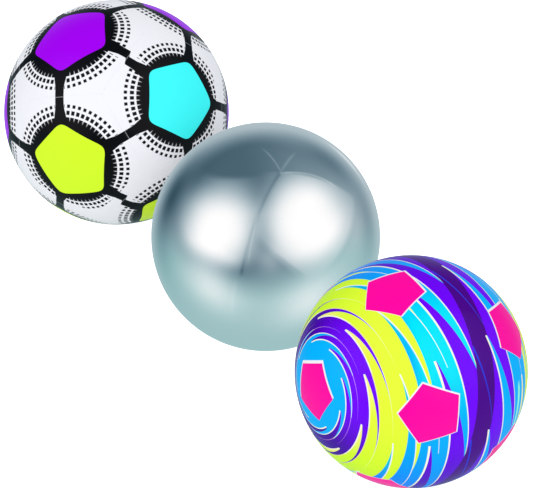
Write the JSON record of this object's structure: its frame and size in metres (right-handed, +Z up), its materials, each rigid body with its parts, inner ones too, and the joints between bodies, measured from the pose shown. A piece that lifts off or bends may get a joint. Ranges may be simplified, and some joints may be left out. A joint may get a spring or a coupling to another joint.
{
  "type": "inflatable play ball set",
  "caption": "Inflated play balls in a row: a football print, a plain metallic silver one and a colour swirl print, each with bonded panels and a needle valve.",
  "frame": {"origin": "floor point under the centre of the silver ball", "axes": "+Z up, +X along the row from the football towards the swirl ball, +Y towards the back"},
  "size_m": [0.6605, 0.2314, 0.22],
  "materials": {
    "film_purple": "clear gloss film over a white, black and purple print",
    "film_cyan": "clear gloss film over a white, black and cyan print",
    "film_lime": "clear gloss film over a white, black and lime print",
    "film_silver": "polished metallised silver film",
    "film_swirl": "clear gloss film over a violet, blue, lime and pink print",
    "bladder_rubber": "smooth moulded butyl",
    "carcass_rubber": "matt moulded rubber",
    "valve_rubber": "matt black rubber",
    "valve_core_rubber": "smooth white rubber"
  },
  "bodies": {
    "football_ball": {"football_bladder": "bladder_rubber", "football_carcass": "carcass_rubber", "football_valve_body": "valve_rubber", "football_valve_panel": "film_cyan", "football_base_panel": "film_lime", "football_upper_panel_1": "film_purple", "football_upper_panel_2": "film_cyan", "football_upper_panel_3": "film_lime", "football_upper_panel_4": "film_purple", "football_upper_panel_5": "film_purple", "football_lower_panel_1": "film_purple", "football_lower_panel_2": "film_cyan", "football_lower_panel_3": "film_lime", "football_lower_panel_4": "film_lime", "football_lower_panel_5": "film_cyan"},
    "football_valve_core": {"football_valve_core": "valve_core_rubber"},
    "silver_ball": {"silver_bladder": "bladder_rubber", "silver_carcass": "carcass_rubber", "silver_valve_body": "valve_rubber", "silver_valve_panel": "film_silver", "silver_base_panel": "film_silver", "silver_upper_panel_1": "film_silver", "silver_upper_panel_2": "film_silver", "silver_upper_panel_3": "film_silver", "silver_upper_panel_4": "film_silver", "silver_upper_panel_5": "film_silver", "silver_lower_panel_1": "film_silver", "silver_lower_panel_2": "film_silver", "silver_lower_panel_3": "film_silver", "silver_lower_panel_4": "film_silver", "silver_lower_panel_5": "film_silver"},
    "silver_valve_core": {"silver_valve_core": "valve_core_rubber"},
    "swirl_ball": {"swirl_bladder": "bladder_rubber", "swirl_carcass": "carcass_rubber", "swirl_valve_body": "valve_rubber", "swirl_valve_panel": "film_swirl", "swirl_base_panel": "film_swirl", "swirl_upper_panel_1": "film_swirl", "swirl_upper_panel_2": "film_swirl", "swirl_upper_panel_3": "film_swirl", "swirl_upper_panel_4": "film_swirl", "swirl_upper_panel_5": "film_swirl", "swirl_lower_panel_1": "film_swirl", "swirl_lower_panel_2": "film_swirl", "swirl_lower_panel_3": "film_swirl", "swirl_lower_panel_4": "film_swirl", "swirl_lower_panel_5": "film_swirl"},
    "swirl_valve_core": {"swirl_valve_core": "valve_core_rubber"}
  },
  "joints": [
    {"name": "football_slide", "type": "slide", "parent": "silver_ball", "child": "football_ball", "axis": [-1, 0, 0], "range_m": [0, 0.25]},
    {"name": "swirl_slide", "type": "slide", "parent": "silver_ball", "child": "swirl_ball", "axis": [0.9987, -0.0518, 0], "range_m": [0, 0.25]},
    {"name": "football_valve_pull", "type": "slide", "parent": "football_ball", "child": "football_valve_core", "axis": [-0.9366, 0.2062, 0.2835], "range_m": [0, 0.03]},
    {"name": "silver_valve_pull", "type": "slide", "parent": "silver_ball", "child": "silver_valve_core", "axis": [-0.2778, 0.8304, 0.483], "range_m": [0, 0.03]},
    {"name": "swirl_valve_pull", "type": "slide", "parent": "swirl_ball", "child": "swirl_valve_core", "axis": [-0.4507, 0.7323, 0.5105], "range_m": [0, 0.03]}
  ]
}
